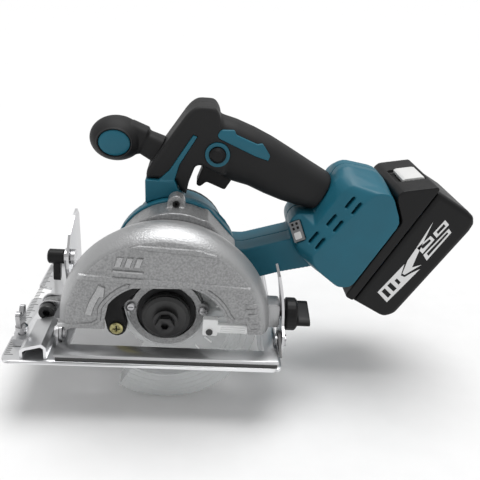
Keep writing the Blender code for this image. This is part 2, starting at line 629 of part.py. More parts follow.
TEAL_FOOT = [(-9, 113), (13.2, 113), (16, 106), (21, 101), (21, 88), (16, 84), (-8, 84)]
GRIP = [
    (-8.6, 113.4, 0), (-8.4, 119), (3.5, 138), (20.5, 164), (26, 169.5), (41, 169.5), (44, 165), (83.5, 148, 9),
    (134.5, 119, 0), (121.5, 91.5, 0), (100, 96, 9), (82, 102.5, 9), (68, 108.5), (58, 111), (52, 113.5), (31, 121),
    (27, 119.5), (23.5, 111), (22, 101.4, 0), (16.4, 106.4, 0), (13.6, 113.4, 0),
]
FINGER = [(0, 112), (9, 121), (25.5, 148.5), (28.5, 147.5), (16, 125.5), (12.5, 112)]
GRIP_SCREW = (112, 104)  # x, z
TRIGGER = [
    (33.5, 121), (29, 107), (32, 105.2), (37, 109.6), (51.5, 103.8), (56, 111.5), (60, 122), (57, 125.5),
    (50, 124.2), (36, 123.6),
]
HOUSING = {  # outlines from the middle plane to the flat side, by distance from the middle plane
    9: [
        (104.5, 74), (103, 84), (108, 91.5), (121.9, 91.5, 0), (135.2, 119.5, 0), (138, 126), (145, 129.5),
        (170.5, 125.5), (178.5, 117), (180.5, 106), (185.5, 94.6), (155.4, 38), (145, 37), (138, 42), (126, 48),
        (110, 62),
    ],
    18: [
        (104.5, 74), (103, 83), (108, 91), (121.9, 91.5, 0), (135.2, 118.6, 0), (138.5, 122.5), (146, 125.6),
        (171, 122.5), (178, 116.5), (180.5, 106), (185.5, 94.6), (155.4, 38), (145, 37), (138, 42), (126, 48),
        (110, 62),
    ],
    28.5: [
        (111, 64.5), (110.5, 68), (113.5, 72), (122, 85, 0), (136, 108, 0), (141, 116), (147, 120.3), (171, 119.5),
        (177.5, 115), (180.5, 106), (185.5, 94.6), (155.4, 38), (145, 37), (138, 42), (126, 48.5), (113, 60),
    ],
    37.5: [
        (122, 60), (121.5, 63), (124, 67), (131, 76, 0), (150, 101, 0), (158, 112), (164, 117.3), (172, 117.5),
        (177, 114.2), (180.5, 106), (185.5, 94.6), (155.4, 38), (145, 37.5), (139, 42), (130, 49), (124, 55),
    ],
}
VENTS = ((121.8, 76.9), (133.6, 92.1), (145.5, 107.3))  # x, z of the first slot of each pair
ARM = [(60, 36), (72, 30.5), (100, 40), (128, 47), (118, 66), (108, 70), (70, 58), (58, 58)]


def grown(outline, reach):
    """An outline moved outwards by reach, from each corner's two edges. Minus moves it in."""
    area = sum(a[0] * b[1] - b[0] * a[1] for a, b in zip(outline, outline[1:] + outline[:1]))
    side = 1 if area > 0 else -1
    result = []
    for i, corner in enumerate(outline):
        here = Vector(corner)
        before = (here - Vector(outline[i - 1])).normalized()
        after = (Vector(outline[(i + 1) % len(outline)]) - here).normalized()
        out_before = Vector((before.y, -before.x)) * side
        out_after = Vector((after.y, -after.x)) * side
        middle = (out_before + out_after).normalized()
        result.append(tuple(here + middle * reach / max(middle.dot(out_after), 0.5)))
    return result


HALVES = (("near", -1), ("far", 1))


def span(side, half):
    """y limits of one half shell, with a fine joint at the middle plane."""
    return sorted((MID_Y + side * GAP / 2, MID_Y + side * half))


def around(value, *reaches):
    """value moved by each reach, in rising order."""
    return sorted(value + reach for reach in reaches)


def grip():
    """The rubber covered rear grip and the teal brackets that carry its front end, each in two halves."""
    core = [(50, 118), (62, 116), (118, 98), (124, 112), (82, 140), (52, 152), (38, 152), (30, 140)]
    slot = [(27, 128), (33, 132), (60, 134), (65, 128), (65, 104), (27, 100)]
    neck = [(0, 100), (0, 113.1), (12, 113.1), (12, 100)]
    for name, side in HALVES:
        face = MID_Y + side * HANDLE_HALF
        outside = prism(rounded(GRIP, 5, 2), *span(side, HANDLE_HALF))
        shell = make(f"grip_{name}", soften(outside, "Y", face, 7, 2), "rubber")
        cut(
            shell,
            prism(grown(FINGER, GAP), *around(face, -2.6, 2.6)),
            prism(core, *around(MID_Y, -12, 12)),
            prism(slot, *around(MID_Y, -9.5, 9.5)),
            prism(circle(LOCK_OFF, 8.2, 24), *around(MID_Y, -30, 30)),
            prism(circle(LOCK_OFF, 9.6, 24), *around(face, -side * 1.6, side * 5)),
            prism(circle(GRIP_SCREW, 1.9, 12), *around(MID_Y, -12, 12)),
        )
        foot = make(f"front_bracket_{name}", prism(TEAL_FOOT, *span(side, HANDLE_HALF + 3)), "teal")
        finger = around(face, -side * 2.2, side * 1.2)
        join(foot, prism(FINGER, *finger), prism(neck, *finger))
        cut(foot, barrel_clearance(), prism(circle(LUG, 2.2, 12), -10, 12))


def front_knob():
    """The ball at the front, its stem into the grip, and the oval core that shows on both sides."""
    radius, height = 20, 17
    widest = math.radians(62)
    turns = [math.tau * i / 28 for i in range(28)]
    rings = []
    for k in range(9):
        tilt = widest * (k / 4 - 1)
        wide, high, y = radius * math.cos(tilt), height * math.cos(tilt), MID_Y + radius * math.sin(tilt)
        rings.append([(KNOB[0] + wide * math.cos(a), y, KNOB[1] + high * math.sin(a)) for a in turns])
    knob = make("front_knob", loft(rings), "rubber")
    stem = []
    for low, high in (((-9.4, 120.2), (2.6, 138.2)), ((-30, 130), (-22, 150))):
        middle, half = (Vector(low) + Vector(high)) / 2, (Vector(high) - Vector(low)) / 2
        stem.append([(*(middle + half * a), MID_Y + 11 * b) for a, b in circle((0, 0), 1.06, 8)])
    join(knob, loft([[(x, y, z) for x, z, y in ring] for ring in stem]))
    oval = [(KNOB[0] + 8.8 * a, KNOB[1] + 7.3 * b) for a, b in circle((0, 0), 1, 24)]
    reach = radius * math.sin(widest) + 1.4
    make("knob_core", prism(oval, MID_Y - reach, MID_Y + reach), "teal")
    cut(knob, prism(grown(oval, GAP), MID_Y - 25, MID_Y + 25))


def switches():
    """The trigger and its switch, the lock-off button in its sleeve, and the handle's screws."""
    low, high = MID_Y - 8.6, MID_Y + 8.6
    lever = prism(rounded(TRIGGER, 1.5, 2), low, high)
    for side in (low, high):
        soften(lever, "Y", side, 2)
    make("trigger", lever, "black", (TRIGGER_PIVOT[0], MID_Y, TRIGGER_PIVOT[1]))
    make("trigger_switch", block(72, 96, MID_Y - 9, MID_Y + 9, 114.2, 126), "grey")

    button = [(4, -2.4), (6, -0.6), (6, 46.6), (4, 48.4)]
    make("lock_off_button", turned(button, LOCK_OFF, "Y", 24), "black", (LOCK_OFF[0], MID_Y, LOCK_OFF[1]))
    reach = HANDLE_HALF + 1.4
    half = [(6.5, -reach), (9.2, -reach), (9.2, -reach + 2.6), (7.8, -reach + 2.6)]
    both = half + [(radius, -along) for radius, along in half[::-1]]
    sleeve = [(radius, MID_Y + along) for radius, along in both]
    make("lock_off_sleeve", turned(sleeve, LOCK_OFF, "Y", 24, True), "teal")

    screw = [(1.6, MID_Y - 11), (1.6, MID_Y + 11)]
    make("grip_screw", turned(screw, GRIP_SCREW, "Y", 10), "steel")
    bracket_screw = make("bracket_screw", turned([(2.1, -16.6), (2.1, 10)], LUG, "Y", 16), "black steel")
    cut(bracket_screw, prism(hexagon(LUG, 2.5), -18, -14))


def in_plane(along, depth):
    """Pack-frame distances, along the pack and outwards, as (x, z)."""
    return (
        BATTERY_ORIGIN[0] + along * math.cos(BATTERY_ANGLE) + depth * math.sin(BATTERY_ANGLE),
        BATTERY_ORIGIN[1] + along * math.sin(BATTERY_ANGLE) - depth * math.cos(BATTERY_ANGLE),
    )


def housing(pack):
    """The teal battery housing, with the arm that ties it to the motor barrel, and what it holds."""
    bay = [in_plane(a, b) for a, b in ((4, -2), (100, -2), (100, 30), (-30, 30), (-30, 11.2), (4, 8))]
    cavity = [in_plane(a, b) for a, b in ((16, -31), (70, -31), (74, -1), (10, -1))]
    for name, side in HALVES:
        face = MID_Y + side * BATTERY_HALF
        levels = [(GAP / 2, HOUSING[9]), *HOUSING.items()]
        rings = [[(x, MID_Y + side * reach, z) for x, z in rounded(outline, 5, 2)] for reach, outline in levels]
        shell = make(f"battery_housing_{name}", loft(rings, split=True), "teal")
        join(shell, prism(rounded(ARM, 3, 2), *span(side, 19)))
        cut(
            shell,
            prism(bay, *around(MID_Y, 2.6 - BATTERY_HALF, BATTERY_HALF - 2.6)),
            prism(cavity, *around(MID_Y, -24, 24)),
            barrel_clearance(),
        )
        for x, z in VENTS:
            for start in ((x, z), (x + 4.9, z - 3.1)):
                ends = [(start[0] + 2.7 * t, start[1] + 4.15 * t) for t in (-1, 1)]
                cut(shell, prism(capsule(*ends, 1, 3), *around(face, side * 5, side * (23 - BATTERY_HALF))))
        if name == "near":
            cut(shell, on_corner(block(-8.4, 8.4, -4.9, 4.9, -3, 3)))
    make("indicator_panel", on_corner(block(-8, 8, -4.5, 4.5, -1.5, 0.35)), "grey")
    make("terminal_block", block(20, 60, -20, 20, 2.6, 7), "grey", parent=pack)
    make("control_board", block(20, 66, -21, 21, 23, 24.6), "board", parent=pack)


def on_corner(shape):
    """Moves a shape from its own frame to the slanted corner that carries the indicator panel."""
    facing = Vector((-0.49, -0.806, 0.332)).normalized()
    along = Vector((0.33, -0.51, -0.8))
    along = (along - facing * along.dot(facing)).normalized()
    turn = Matrix((along, facing.cross(along), facing)).transposed().to_4x4()
    bmesh.ops.transform(shape, matrix=Matrix.Translation((109.3, -1, 78.5)) @ turn, verts=shape.verts)
    return shape


def battery(pack):
    """A slide-on pack in its own frame: x along the pack, z towards the tool, y across."""
    half = BATTERY_HALF
    seam = -19.6
    top = seam - GAP / 2
    lower_outline = [(-3, top, 0), (-3, -51, 4), (4.5, -57, 3), (104.5, -62.6, 12), (105, top, 0)]
    low = prism(rounded(lower_outline, 4, 3), -half, half)
    for side in (-half, half):
        soften(low, "Y", side, 4)
    lower = make("battery_case_lower", low, "black", parent=pack)
    cut(lower, prism([(0.5, -10), (0.5, -48), (7, -54.8), (101.5, -54.8), (101.5, -10)], 3 - half, half - 3))
    shoulder = [
        (-3, seam + GAP / 2), (-3, -11.6), (71.5, -11.6), (81.8, 1), (86, 5), (91.5, 3.4), (107.5, -16.6),
        (107.5, seam + GAP / 2),
    ]
    high = prism(rounded(shoulder, 2, 2), -half, half)
    for side in (-half, half):
        soften(high, "Y", side, 4, 2, lambda middle: middle.z > seam + 1)
    upper = make("battery_case_upper", high, "black", parent=pack)
    join(upper, block(10, 64, -28, 28, -12.5, 0.8))
    slant = Vector((16, 0, -20)).normalized()
    lift = Vector((20, 0, 16)).normalized()
    start = Vector((91.5, 0, 3.4))

    def on_slant(a, b):
        point = start + slant * a + lift * b
        return (point.x, point.z)

    recess = [on_slant(a, b) for a, b in ((1.5, 5), (24.2, 5), (24.2, -3), (1.5, -3))]
    cut(upper, block(1, 101, 4 - half, half - 4, seam - 5, -16.6), prism(recess, -15, 15))
    for y0, y1 in ((-24, -20), (-10, -6), (6, 10), (20, 24)):
        cut(upper, block(30, 70, y0, y1, -4, 3))
    key = [on_slant(a, b) for a, b in ((5.9, -2.6), (23.8, -2.6), (23.8, 0.4), (21, 1.2), (8, 1.2), (5.9, 0.2))]
    make("battery_release", prism(key, -14.5, 14.5), "white", parent=pack)

    radius, pitch = 9.1, 18.6
    cells = make("battery_cells", block(8, 100, -1.5, 1.5, -54, -18), "cell", parent=pack)
    for row in (-45.2, -26.8):
        for k in range(5):
            centre = (13.5 + pitch * k, row)
            join(cells, prism(circle(centre, radius, 10), -32.5, 32.5))


def build():
    base()
    fence_bracket()
    bevel_parts()
    depth_knob()
    upper_guard()
    lower_guard()
    guard_spring()
    gear_case()
    drive()
    motor_housing()
    grip()
    front_knob()
    switches()
    pack_frame = frame("battery_frame", (BATTERY_ORIGIN[0], MID_Y, BATTERY_ORIGIN[1]), -BATTERY_ANGLE)
    housing(pack_frame)
    battery(pack_frame)


build()
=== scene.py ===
"""Looks for the cordless circular saw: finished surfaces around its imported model.

Lengths are millimetres in the model's own frame until a mesh is made. X runs to the rear, Y away
from the blade side and Z up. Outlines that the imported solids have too, such as the guard's and the
handle's, are repeated here in the same numbers.
"""

import json
import math

import bmesh
import bpy
from mathutils import Matrix, Vector


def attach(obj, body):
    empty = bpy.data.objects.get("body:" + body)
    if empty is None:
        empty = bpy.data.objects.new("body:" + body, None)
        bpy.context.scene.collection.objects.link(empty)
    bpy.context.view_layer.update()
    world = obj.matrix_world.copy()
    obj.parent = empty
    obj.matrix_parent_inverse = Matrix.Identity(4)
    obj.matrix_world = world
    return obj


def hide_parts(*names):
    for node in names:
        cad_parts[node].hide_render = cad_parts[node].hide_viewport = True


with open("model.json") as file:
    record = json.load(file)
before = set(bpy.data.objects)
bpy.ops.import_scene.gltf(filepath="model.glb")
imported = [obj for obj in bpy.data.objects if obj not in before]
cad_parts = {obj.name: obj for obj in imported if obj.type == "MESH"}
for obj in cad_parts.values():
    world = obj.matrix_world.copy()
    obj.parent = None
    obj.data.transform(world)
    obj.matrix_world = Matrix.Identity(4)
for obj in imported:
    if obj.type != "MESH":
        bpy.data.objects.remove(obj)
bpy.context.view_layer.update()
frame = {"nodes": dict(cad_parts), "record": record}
NODES = frame["nodes"]
BODY = {
    node: body for body, nodes in frame["record"]["behaviour"]["bodies"].items() for node in nodes
}

MM = 0.001
ARBOR = (12.0, 24.0)  # x, z
GUARD_R, GUARD_WALL = 76.0, 3.0
GUARD_NEAR, GUARD_BACK = -66.5, -31.2  # y of the upper guard's near face and of its back
GUARD_RIM = (7.0, 19.0)  # how far the near rim's curve comes in, and how deep it is
GUARD_TAPER = 5.0
LOWER_R, LOWER_WALL = 67.4, 1.8
LOWER_NEAR, LOWER_BACK = -54.0, -34.8  # y of the clear guard's two sides
CLAMP = (-38.0, 26.0)  # y, z of the depth clamp's bolt
STOP_SCREW = (-24.0, 13.0)  # x, z of the yellow screw in the guard's stop arm
MID_Y = 23.0  # the middle plane of the handle and the battery
HANDLE_HALF = 20.0
KNOB = (-32.5, 138.0)  # x, z of the front knob's middle
BATTERY_ORIGIN = (143.0, 38.0)  # x, z where the battery's own directions start
BATTERY_ANGLE = math.radians(62)
BATTERY_HALF = 37.5
PANEL_MIDDLE = (109.3, -1, 78.5)
PANEL_FACING = (-0.49, -0.806, 0.332)
PANEL_ALONG = (0.33, -0.51, -0.8)
RULER_MARKS, RULER_STEP = 57, 2.5
FLOOR_LEVEL, FLOOR_REACH = -44.6, 90000
SKY_STRENGTH = 0.58
SUN_ENERGY, SUN_ANGLE, SUN_DIRECTION = 2.15, 42, (-0.05, -0.2, -1)
CAMERA_PLACE = (30.6, -436.7, 259.0)
CAMERA_YAW, CAMERA_PITCH, CAMERA_ROLL = 4.58, 23.53, 4.70  # degrees
CAMERA_LENS, CAMERA_SENSOR = 45.75, 36


# ---------------------------------------------------------------- finishes


def look(
    name, colour, roughness, metallic=0.0, grain=900, bump=0.15, depth=0.1, mottle=45, shade=0.08,
    vary=0.1, stretch=(1, 1, 1), worn=None, rim=None, **sockets
):
    """A finish with a fine bump and a broad change of colour and roughness.

    grain and mottle are features per metre, depth is in millimetres. worn is the colour of sharp
    edges, and rim a lighter colour painted far from the arbor, a painted highlight, where a finish
    has one.
    """
    material = bpy.data.materials.new(name)
    material.use_nodes = True
    nodes, links = material.node_tree.nodes, material.node_tree.links
    shader = nodes["Principled BSDF"]
    shader.inputs["Metallic"].default_value = metallic
    for socket, value in sockets.items():
        shader.inputs[socket.replace("_", " ")].default_value = value
    place = nodes.new("ShaderNodeTexCoord")
    mapping = nodes.new("ShaderNodeMapping")
    mapping.inputs["Scale"].default_value = stretch
    links.new(place.outputs["Object"], mapping.inputs["Vector"])

    def noise(scale, detail):
        node = nodes.new("ShaderNodeTexNoise")
        node.inputs["Scale"].default_value = scale
        node.inputs["Detail"].default_value = detail
        links.new(mapping.outputs["Vector"], node.inputs["Vector"])
        return node.outputs["Fac"]

    fine, broad = noise(grain, 3), noise(mottle, 4)
    height = nodes.new("ShaderNodeBump")
    height.inputs["Strength"].default_value = bump
    height.inputs["Distance"].default_value = depth * MM
    links.new(fine, height.inputs["Height"])
    links.new(height.outputs["Normal"], shader.inputs["Normal"])

    def ranged(source, low, high, start=0.35, end=0.65):
        node = nodes.new("ShaderNodeMapRange")
        node.inputs["From Min"].default_value = start
        node.inputs["From Max"].default_value = end
        node.inputs["To Min"].default_value = low
        node.inputs["To Max"].default_value = high
        links.new(source, node.inputs["Value"])
        return node.outputs["Result"]

    def mixed(factor, first, second):
        node = nodes.new("ShaderNodeMix")
        node.data_type = "RGBA"
        links.new(factor, node.inputs["Factor"])
        for socket, value in ((node.inputs[6], first), (node.inputs[7], second)):
            if isinstance(value, tuple):
                socket.default_value = (*value, 1.0)
            else:
                links.new(value, socket)
        return node.outputs[2]

    dark = tuple(c * (1 - shade) for c in colour)
    light = tuple(min(c * (1 + shade), 1.0) for c in colour)
    tone = mixed(ranged(broad, 0, 1), dark, light)
    if worn:
        geometry = nodes.new("ShaderNodeNewGeometry")
        tone = mixed(ranged(geometry.outputs["Pointiness"], 0, 1, 0.51, 0.58), tone, worn)
    # Painted highlight: lighter from 67.5 mm from the arbor outwards, fully from 71.5 mm, for the
    # light that the guard's rounded rim catches.
    if rim:
        reach = nodes.new("ShaderNodeVectorMath")
        reach.operation = "MULTIPLY_ADD"
        reach.inputs[1].default_value = (1, 0, 1)
        reach.inputs[2].default_value = (-ARBOR[0] * MM, 0, -ARBOR[1] * MM)
        links.new(place.outputs["Object"], reach.inputs[0])
        length = nodes.new("ShaderNodeVectorMath")
        length.operation = "LENGTH"
        links.new(reach.outputs["Vector"], length.inputs[0])
        tone = mixed(ranged(length.outputs["Value"], 0, 0.85, 0.0675, 0.0715), tone, rim)
    links.new(tone, shader.inputs["Base Color"])
    links.new(ranged(broad, roughness - vary / 2, roughness + vary / 2), shader.inputs["Roughness"])
    return material


LOOKS = {
    "teal": look(
        "teal_plastic", (0.012, 0.122, 0.178), 0.42, grain=1500, bump=0.25, shade=0.05,
        Specular_IOR_Level=0.32,
    ),
    "rubber": look(
        "grip_rubber", (0.012, 0.012, 0.0125), 0.6, grain=1800, bump=0.5, shade=0.12,
        worn=(0.024, 0.024, 0.025), Specular_IOR_Level=0.3,
    ),
    "black": look(
        "black_plastic", (0.006, 0.006, 0.0065), 0.45, grain=1500, bump=0.3, shade=0.1,
        Specular_IOR_Level=0.25,
    ),
    "cast": look(
        "sand_cast", (0.3, 0.302, 0.305), 0.35, 0.65, grain=900, bump=1.0, depth=0.3, mottle=650,
        shade=0.2,
    ),
    # The guard's cast finish with a painted highlight: its near rim is painted lighter.
    "guard cast with painted rim highlight": look(
        "guard_cast_painted_rim_highlight", (0.29, 0.292, 0.295), 0.35, 0.65, grain=900, bump=1.0, depth=0.3, mottle=650,
        shade=0.2, rim=(0.47, 0.473, 0.478),
    ),
    # A lighter cast colour, used for the guard's raised marks.
    "lighter cast": look(
        "lighter_cast", (0.4, 0.402, 0.405), 0.36, 0.6, grain=900, bump=0.6, mottle=650, shade=0.12
    ),
    "zinc": look(
        "bright_zinc", (0.8, 0.805, 0.815), 0.36, 1.0, grain=700, bump=0.12, mottle=25, shade=0.06,
        stretch=(0.15, 1, 1),
    ),
    "satin": look(
        "satin_zinc", (0.6, 0.6, 0.61), 0.3, 1.0, grain=900, bump=0.2, mottle=40, shade=0.1,
        stretch=(1, 1, 0.2),
    ),
    "steel": look(
        "turned_steel", (0.5, 0.5, 0.51), 0.28, 1.0, grain=1200, bump=0.15, stretch=(1, 0.1, 1)
    ),
    "black steel": look(
        "black_oxide", (0.012, 0.012, 0.013), 0.36, 0.3, grain=1200, bump=0.25, shade=0.2,
        worn=(0.05, 0.05, 0.05), Specular_IOR_Level=0.4,
    ),
    "yellow": look("yellow_zinc", (0.68, 0.62, 0.3), 0.3, 1.0, mottle=300, shade=0.2),
    "clear": look(
        "clear_plastic", (0.82, 0.84, 0.84), 0.14, grain=500, bump=0.05, shade=0.02, Alpha=0.34
    ),
    # Thick clear plastic with a faint glow: painted light standing in for light carried along the
    # ribs and the lever's edges.
    "glowing clear rib": look(
        "thick_clear_plastic_painted_glow", (0.88, 0.89, 0.89), 0.2, grain=500, bump=0.05, shade=0.02,
        Alpha=0.75, Emission_Strength=0.08,
    ),
    "grey": look("grey_plastic", (0.2, 0.205, 0.21), 0.45, shade=0.06),
    "white": look("white_plastic", (0.72, 0.72, 0.71), 0.4, shade=0.03),
    "ink": look("white_ink", (0.8, 0.8, 0.8), 0.5, shade=0.03),
    "copper": look(
        "copper_wire", (0.5, 0.22, 0.09), 0.35, 1.0, grain=500, bump=0.8, depth=0.4,
        stretch=(1, 0.2, 1),
    ),
    "board": look("circuit_board", (0.015, 0.11, 0.045), 0.4, mottle=400, shade=0.5),
    "cell": look("cell_sleeve", (0.05, 0.14, 0.32), 0.35, shade=0.1),
}


# ---------------------------------------------------------------- outlines


def arc(centre, radius, start, end, steps):
    """Points along an arc, angles in degrees, both ends included."""
    turns = [math.radians(start + (end - start) * i / steps) for i in range(steps + 1)]
    return [(centre[0] + radius * math.cos(t), centre[1] + radius * math.sin(t)) for t in turns]


def circle(centre, radius, steps=48):
    return arc(centre, radius, 0, 360 * (steps - 1) / steps, steps - 1)


def capsule(a, b, radius, steps=12):
    """The outline round two points."""
    angle = math.degrees(math.atan2(b[1] - a[1], b[0] - a[0]))
    return arc(b, radius, angle - 90, angle + 90, steps) + arc(
        a, radius, angle + 90, angle + 270, steps
    )


def rounded(points, radius, steps=5):
    """A polygon with each corner curved over about this radius, or over its own third value."""
    result = []
    for i, corner in enumerate(points):
        here = Vector(corner[:2])
        before = Vector(points[i - 1][:2]) - here
        after = Vector(points[(i + 1) % len(points)][:2]) - here
        reach = min(
            corner[2] if len(corner) > 2 else radius, before.length * 0.45, after.length * 0.45
        )
        if reach == 0:
            result.append(tuple(here))
            continue
        start = here + before.normalized() * reach
        end = here + after.normalized() * reach
        for k in range(steps + 1):
            t = k / steps
            result.append(tuple((1 - t) ** 2 * start + 2 * t * (1 - t) * here + t**2 * end))
    return result


def rectangle(x0, x1, y0, y1):
    return [(x0, y0), (x1, y0), (x1, y1), (x0, y1)]


def grown(outline, reach):
    """An outline moved outwards by reach, from each corner's two edges. Minus moves it in."""
    area = sum(a[0] * b[1] - b[0] * a[1] for a, b in zip(outline, outline[1:] + outline[:1]))
    side = 1 if area > 0 else -1
    result = []
    for i, corner in enumerate(outline):
        here = Vector(corner)
        before = (here - Vector(outline[i - 1])).normalized()
        after = (Vector(outline[(i + 1) % len(outline)]) - here).normalized()
        out_before = Vector((before.y, -before.x)) * side
        out_after = Vector((after.y, -after.x)) * side
        middle = (out_before + out_after).normalized()
        result.append(tuple(here + middle * reach / max(middle.dot(out_after), 0.5)))
    return result


# ---------------------------------------------------------------- solids

PLACE = {
    "X": lambda a, b, t: Vector((t, a, b)),
    "Y": lambda a, b, t: Vector((a, t, b)),
    "Z": lambda a, b, t: Vector((a, b, t)),
}
SLAB_STEPS = 3  # faces round a slab's rim
RIM_STEPS = 12  # faces across the upper guard's curved rim


def loft(rings, closed=False):
    """Rings of points joined one to the next.

    A closed loft joins the last to the first, others are capped.
    """
    mesh = bmesh.new()
    made = [[mesh.verts.new(point) for point in points] for points in rings]
    count = len(made[0])
    pairs = list(zip(made, made[1:]))
    if closed:
        pairs.append((made[-1], made[0]))
    else:
        mesh.faces.new(made[0])
        mesh.faces.new(made[-1])
    for low, high in pairs:
        for i in range(count):
            mesh.faces.new((low[i], low[(i + 1) % count], high[(i + 1) % count], high[i]))
    bmesh.ops.recalc_face_normals(mesh, faces=mesh.faces)
    return mesh


def prism(outline, low, high, axis="Y"):
    """A flat outline pushed along an axis.

    The outline is (x, z) for Y, (y, z) for X and (x, y) for Z.
    """
    place = PLACE[axis]
    return loft([[place(a, b, t) for a, b in outline] for t in (low, high)])


def slab(outline, low, high, edge, ends="both"):
    """A prism along Y whose cap rims are rounded to edge, at both ends or only at the low one."""
    place = PLACE["Y"]
    turns = [math.pi / 2 * k / SLAB_STEPS for k in range(SLAB_STEPS + 1)]
    sizes = [(edge * (1 - math.sin(t)), edge * (1 - math.cos(t))) for t in turns]
    last = [(inset, high - low - depth) for inset, depth in reversed(sizes)]
    last = last if ends == "both" else [(0, high - low)]
    rings = []
    for inset, depth in sizes + last:
        ring = grown(outline, -inset) if inset else outline
        rings.append([place(a, b, low + depth) for a, b in ring])
    return loft(rings)


def block(x0, x1, y0, y1, z0, z1):
    return prism(rectangle(x0, x1, y0, y1), z0, z1, "Z")


def turned(profile, centre, axis="Y", steps=48, ring=False):
    """A profile of (radius, along) turned about an axis through centre."""
    place = PLACE[axis]
    rings = [
        [place(a, b, along) for a, b in circle(centre, radius, steps)] for radius, along in profile
    ]
    return loft(rings, ring)


def merged(*shapes):
    """Several closed shapes in one, for a remesh to join."""
    whole = bmesh.new()
    for shape in shapes:
        mesh = bpy.data.meshes.new("part")
        shape.to_mesh(mesh)
        shape.free()
        whole.from_mesh(mesh)
        bpy.data.meshes.remove(mesh)
    return whole


def soften(shape, at, width, segments):
    """Bevels the edges round the flat cap that lies at one place along Y."""
    edges = [edge for edge in shape.edges if all(abs(vert.co.y - at) < 1e-4 for vert in edge.verts)]
    bmesh.ops.bevel(
        shape, geom=edges, offset=width, segments=segments, profile=0.5, affect="EDGES",
        clamp_overlap=True
    )
    return shape


def squarish(half, reach, power, count):
    """Points round a superellipse: 2 is an ellipse, larger powers are squarer."""
    ring = []
    for k in range(count):
        angle = math.tau * k / count
        c, s = math.cos(angle), math.sin(angle)
        ring.append(
            (
                half * math.copysign(abs(c) ** (2 / power), c),
                reach * math.copysign(abs(s) ** (2 / power), s),
            )
        )
    return ring


# ---------------------------------------------------------------- pieces


def new_object(name, shape):
    """An object in metres from a shape in millimetres."""
    bmesh.ops.scale(shape, verts=shape.verts, vec=(MM, MM, MM))
    mesh = bpy.data.meshes.new(name)
    shape.to_mesh(mesh)
    shape.free()
    item = bpy.data.objects.new(name, mesh)
    bpy.context.scene.collection.objects.link(item)
    return item


def apply_modifiers(item):
    """Turns an object's modified shape into its mesh."""
    evaluated = item.evaluated_get(bpy.context.evaluated_depsgraph_get())
    mesh = bpy.data.meshes.new_from_object(evaluated)
    item.modifiers.clear()
    old = item.data
    item.data = mesh
    bpy.data.meshes.remove(old)


def combine(item, operation, shapes):
    """Cuts or joins an object with shapes, one after another."""
    for shape in shapes:
        tool = new_object("tool", shape)
        modifier = item.modifiers.new("combine", "BOOLEAN")
        modifier.operation = operation
        modifier.object = tool
        apply_modifiers(item)
        bpy.data.objects.remove(tool)


def cut(item, *shapes):
    combine(item, "DIFFERENCE", shapes)


def join(item, *shapes):
    combine(item, "UNION", shapes)


def soft(item, voxel, rounds):
    """Rounds every edge, as moulded and cast pieces have: an even fine mesh, then smoothed."""
    remesh = item.modifiers.new("even", "REMESH")
    remesh.mode = "VOXEL"
    remesh.voxel_size = voxel * MM
    relax = item.modifiers.new("relax", "SMOOTH")
    relax.factor = 0.5
    relax.iterations = rounds
    apply_modifiers(item)


def finish_piece(item, kind, node, body=None, replaces=True, sharp=35):
    """Gives a piece its finish and its body, and hides the node that it stands for if it replaces
    it.
    """
    item.data.materials.clear()
    item.data.materials.append(LOOKS[kind])
    item.data.shade_smooth()
    item.data.set_sharp_from_angle(angle=math.radians(sharp))
    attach(item, body or BODY[node])
    if replaces:
        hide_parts(node)
    return item


def detail(name, shape, kind, node, sharp=35):
    """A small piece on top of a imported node, which it doesn't stand for."""
    return finish_piece(new_object(name, shape), kind, node, replaces=False, sharp=sharp)


def moulded(node, kind, voxel=0.8, rounds=6, size=1.0):
    """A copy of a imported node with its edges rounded, a little smaller if it slides in another."""
    item = bpy.data.objects.new(f"{node}_skin", NODES[node].data.copy())
    bpy.context.scene.collection.objects.link(item)
    soft(item, voxel, rounds)
    corners = [Vector(corner) for corner in item.bound_box]
    middle = sum(corners, Vector()) / len(corners)
    item.data.transform(
        Matrix.Translation(middle) @ Matrix.Scale(size, 4) @ Matrix.Translation(-middle)
    )
    return finish_piece(item, kind, node, sharp=60)


# ---------------------------------------------------------------- upper guard


def half_drum(radius, rim, low, high, taper, floor):
    """A half-round block round the arbor, down to floor, with a curved near rim and tapered."""
    inward, deep = rim
    first = math.radians(36)  # where the rim's curve leaves the flat face, for a crisp edge
    turns = [first + (math.pi / 2 - first) * k / RIM_STEPS for k in range(RIM_STEPS + 1)]
    sizes = [
        (
            inward * (1 - math.sin(t)) / (1 - math.sin(first)),
            deep * (1 - math.cos(t) / math.cos(first))
        )
        for t in turns
    ]
    rings = []
    for inset, depth in sizes + [(taper, high - low)]:
        r = radius - inset
        outline = [(ARBOR[0] + r, floor)] + arc(ARBOR, r, 2, 178, 88) + [(ARBOR[0] - r, floor)]
        rings.append([Vector((x, low + depth, z)) for x, z in outline])
    return loft(rings)


def raised(outline, height, slope):
    """A raised area on the guard's near face, with sloping sides and its foot sunk in."""
    rings = [(outline, 0.8), (outline, 0), (grown(outline, -slope), -height)]
    return loft([[Vector((x, GUARD_NEAR + y, z)) for x, z in ring] for ring, y in rings])


def strip(points, width):
    """The outline of an even band along points."""
    left, right = [], []
    for i, point in enumerate(points):
        ahead = Vector(points[min(i + 1, len(points) - 1)]) - Vector(points[max(i - 1, 0)])
        across = Vector((-ahead.y, ahead.x)).normalized() * width / 2
        left.append(tuple(Vector(point) + across))
        right.append(tuple(Vector(point) - across))
    return left + right[::-1]


